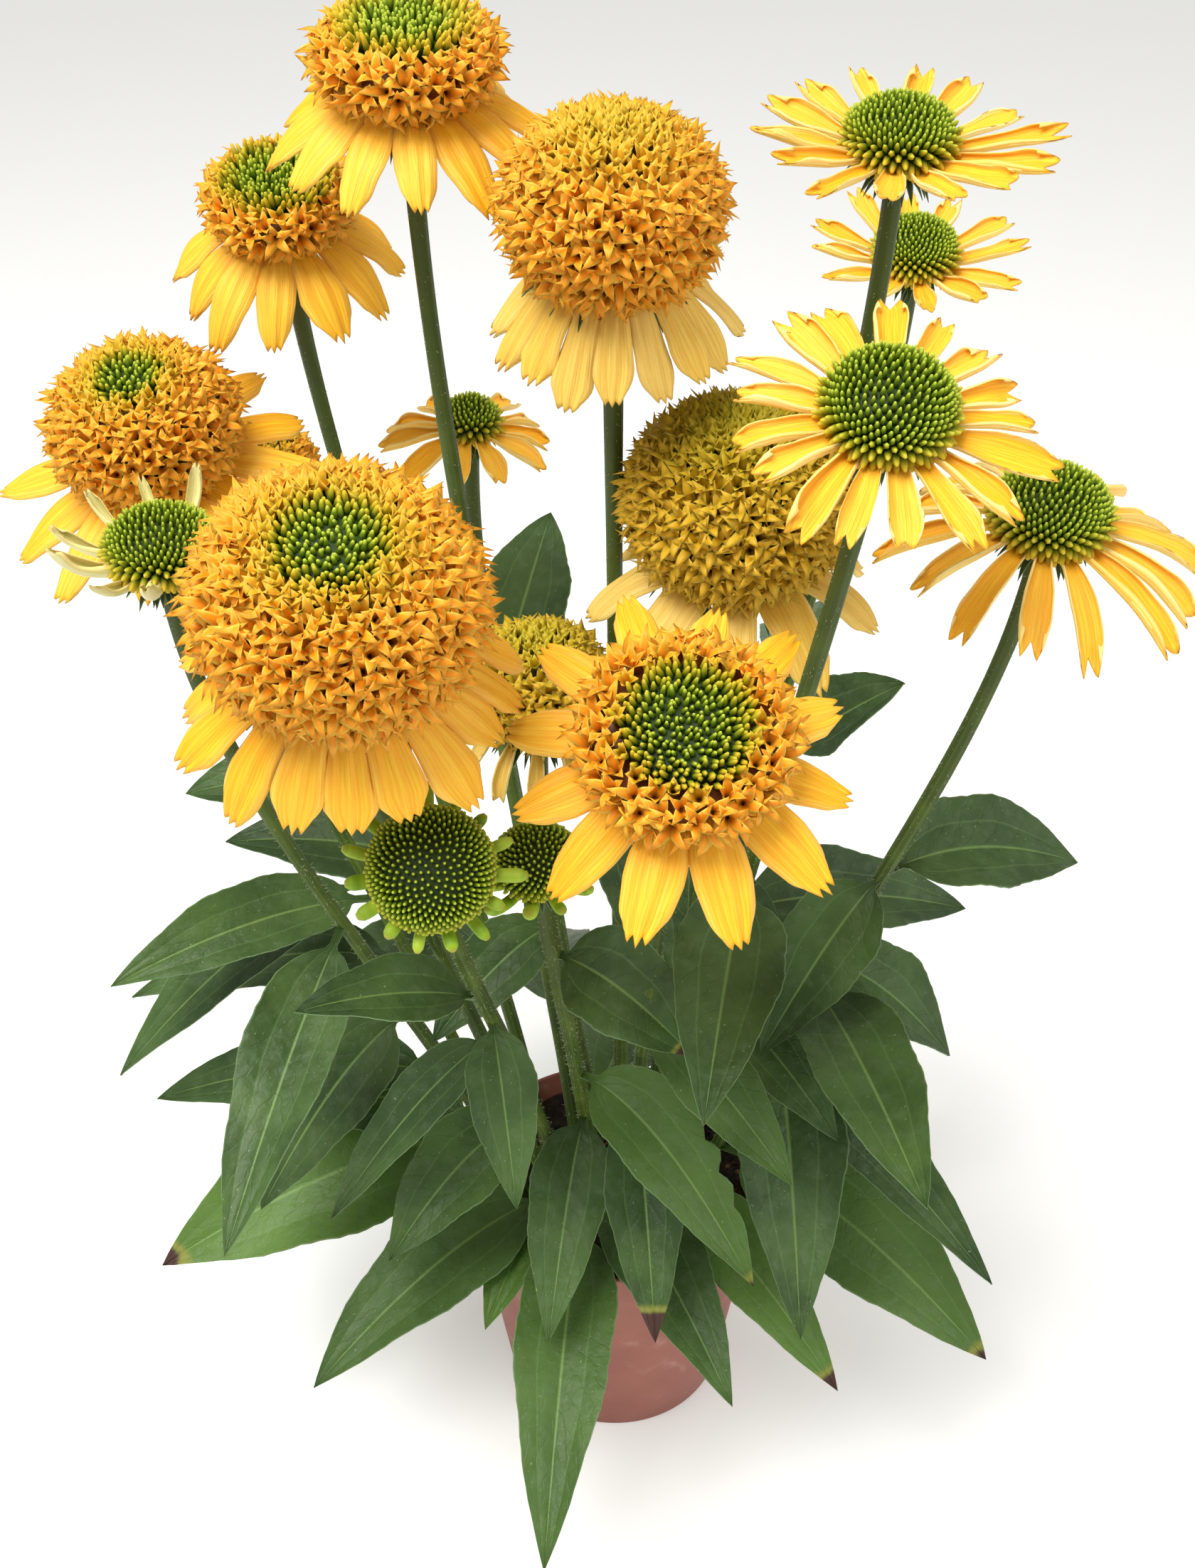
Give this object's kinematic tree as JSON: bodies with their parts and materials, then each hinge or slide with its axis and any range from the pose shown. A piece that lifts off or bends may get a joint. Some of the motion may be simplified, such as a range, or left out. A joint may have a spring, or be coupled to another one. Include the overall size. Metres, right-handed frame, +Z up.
{
  "type": "potted coneflower",
  "caption": "Clump of double and cone-centred yellow coneflowers on leafy stems, standing in soil in a round plastic pot.",
  "frame": {"origin": "middle of the underside of the pot", "axes": "+Z up, -Y towards the front of the clump, where the heads lean"},
  "size_m": [0.3968, 0.3678, 0.5719],
  "materials": {
    "pot": "matt terracotta-coloured moulded plastic, a little lighter and scuffed at the rim",
    "soil": "dark crumbly compost with brown fibres and pale grains",
    "stem_and_leaf": "matt hairy green stems and bracts, dark green leaves with paler veins and a soft sheen",
    "rays_gold": "satin golden orange petals with fine grooves, paler at the tips and backs",
    "rays_pale": "satin pale yellow petals, fading to cream",
    "rays_lime": "satin yellow-green unopened petals",
    "florets_orange": "satin orange florets with yellow edges",
    "florets_olive": "dull olive-yellow florets",
    "cone_green": "satin green florets with light green tips"
  },
  "bodies": {
    "root": {"pot": "pot", "soil": "soil", "stem_a": "stem_and_leaf", "rays_a": "rays_gold", "florets_a": "florets_orange", "centre_a": "cone_green", "stem_b": "stem_and_leaf", "rays_b": "rays_gold", "florets_b": "florets_orange", "centre_b": "cone_green", "stem_c": "stem_and_leaf", "rays_c": "rays_pale", "florets_c": "florets_orange", "stem_d": "stem_and_leaf", "rays_d": "rays_gold", "cone_d": "cone_green", "stem_e": "stem_and_leaf", "rays_e": "rays_gold", "cone_e": "cone_green", "stem_f": "stem_and_leaf", "rays_f": "rays_gold", "cone_f": "cone_green", "stem_g": "stem_and_leaf", "rays_g": "rays_gold", "cone_g": "cone_green", "stem_h": "stem_and_leaf", "rays_h": "rays_pale", "florets_h": "florets_olive", "stem_i": "stem_and_leaf", "rays_i": "rays_gold", "florets_i": "florets_orange", "centre_i": "cone_green", "stem_j": "stem_and_leaf", "rays_j": "rays_lime", "cone_j": "cone_green", "stem_k": "stem_and_leaf", "rays_k": "rays_gold", "florets_k": "florets_orange", "centre_k": "cone_green", "stem_l": "stem_and_leaf", "rays_l": "rays_pale", "cone_l": "cone_green", "stem_m": "stem_and_leaf", "rays_m": "rays_gold", "florets_m": "florets_orange", "centre_m": "cone_green", "stem_n": "stem_and_leaf", "rays_n": "rays_gold", "cone_n": "cone_green", "stem_o": "stem_and_leaf", "rays_o": "rays_pale", "florets_o": "florets_orange", "stem_p": "stem_and_leaf", "florets_p": "florets_orange", "stem_r": "stem_and_leaf", "rays_r": "rays_lime", "cone_r": "cone_green"}
  },
  "joints": []
}
